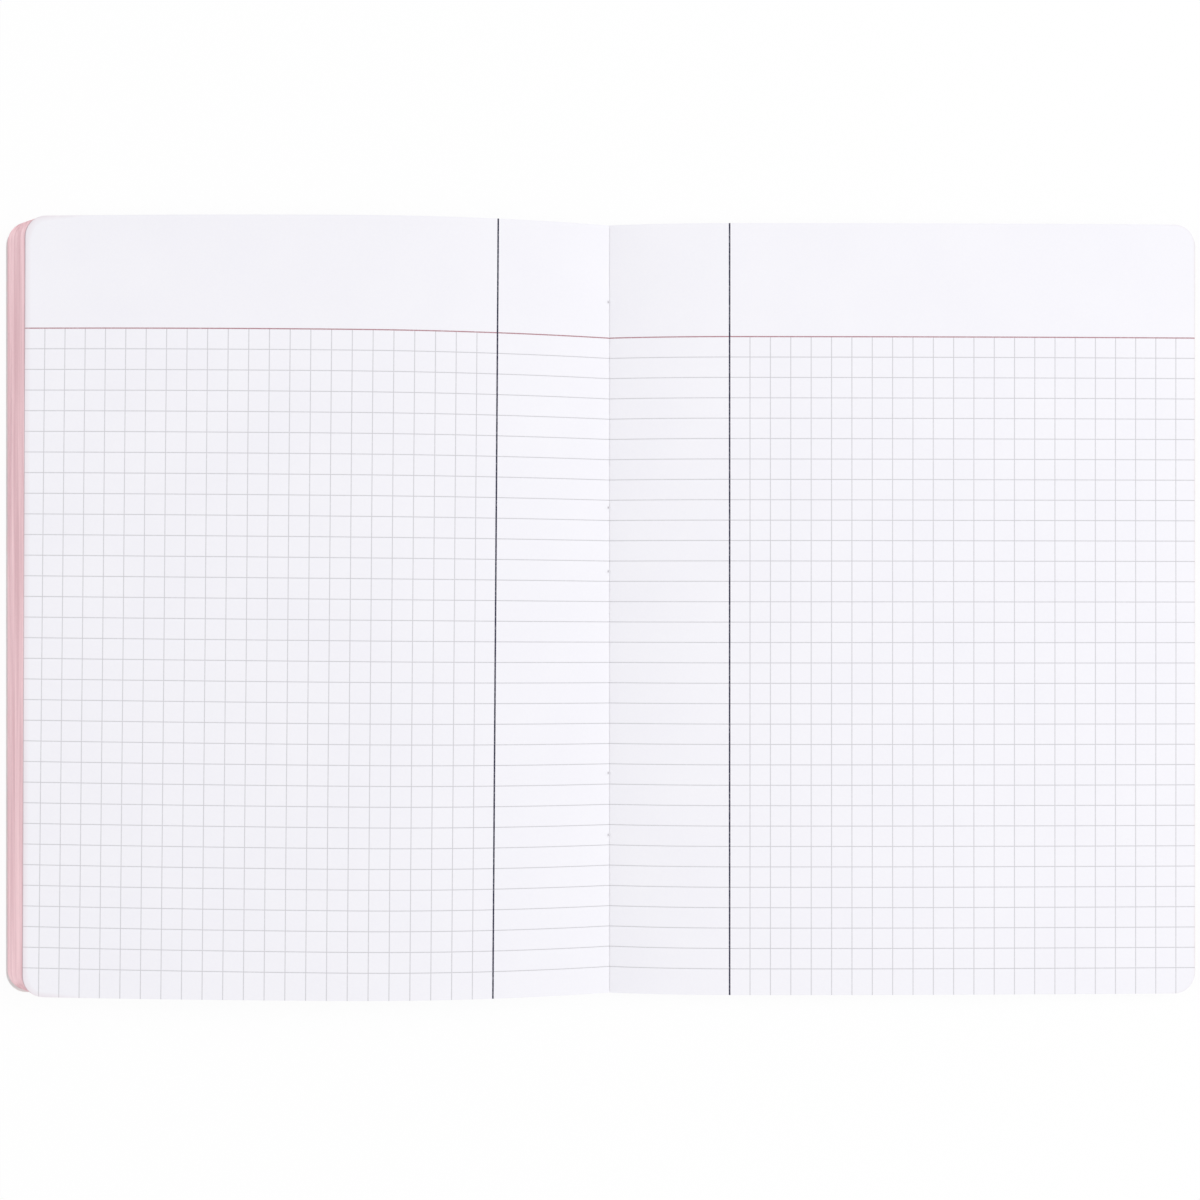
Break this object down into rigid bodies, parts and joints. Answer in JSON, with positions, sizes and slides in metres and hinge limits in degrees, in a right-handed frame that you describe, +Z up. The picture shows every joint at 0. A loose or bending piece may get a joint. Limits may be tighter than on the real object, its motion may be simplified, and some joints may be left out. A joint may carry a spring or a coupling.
{
  "type": "exercise book",
  "caption": "Soft-covered exercise book lying open, its squared pages sewn in sections, with leaves, sections and back cover that turn at the gutter.",
  "frame": {"origin": "on the table under the gutter, half way up the page", "axes": "+X across the open pages to the right, +Y up the page, +Z up"},
  "size_m": [0.4128, 0.266, 0.0182],
  "materials": {
    "paper": "matte white writing paper",
    "leaf_block": "matte white writing paper with pink fore-edges",
    "cover_card": "smooth pale pink card",
    "thread": "white sewing thread",
    "glue": "dried white glue"
  },
  "bodies": {
    "front_block": {"front_cover": "cover_card", "spine_panel": "cover_card", "spine_glue": "glue", "left_under_leaf": "paper", "section_1": "leaf_block", "stitches_1": "thread", "section_2": "leaf_block", "stitches_2": "thread", "section_3": "leaf_block", "stitches_3": "thread", "section_4": "leaf_block", "stitches_4": "thread", "section_5": "leaf_block", "stitches_5": "thread", "section_6": "leaf_block", "stitches_6": "thread"},
    "left_leaf": {"left_leaf": "paper"},
    "back_cover": {"back_cover": "cover_card"},
    "section_8": {"section_8": "leaf_block", "stitches_8": "thread"},
    "section_7": {"section_7": "leaf_block", "stitches_7": "thread", "right_under_leaf": "paper"},
    "right_leaf": {"right_leaf": "paper"}
  },
  "joints": [
    {"name": "left_leaf_turn", "type": "hinge", "parent": "front_block", "child": "left_leaf", "pos_m": [0, 0, 0.0036], "axis": [0, 1, 0], "range_deg": [0, 30]},
    {"name": "back_cover_turn", "type": "hinge", "parent": "front_block", "child": "back_cover", "pos_m": [0, 0, 0.0036], "axis": [0, -1, 0], "range_deg": [0, 50]},
    {"name": "section_8_turn", "type": "hinge", "parent": "back_cover", "child": "section_8", "pos_m": [0, 0, 0.0036], "axis": [0, -1, 0], "range_deg": [0, 10]},
    {"name": "section_7_turn", "type": "hinge", "parent": "section_8", "child": "section_7", "pos_m": [0, 0, 0.0036], "axis": [0, -1, 0], "range_deg": [0, 10]},
    {"name": "right_leaf_turn", "type": "hinge", "parent": "section_7", "child": "right_leaf", "pos_m": [0, 0, 0.0036], "axis": [0, -1, 0], "range_deg": [0, 40]}
  ]
}
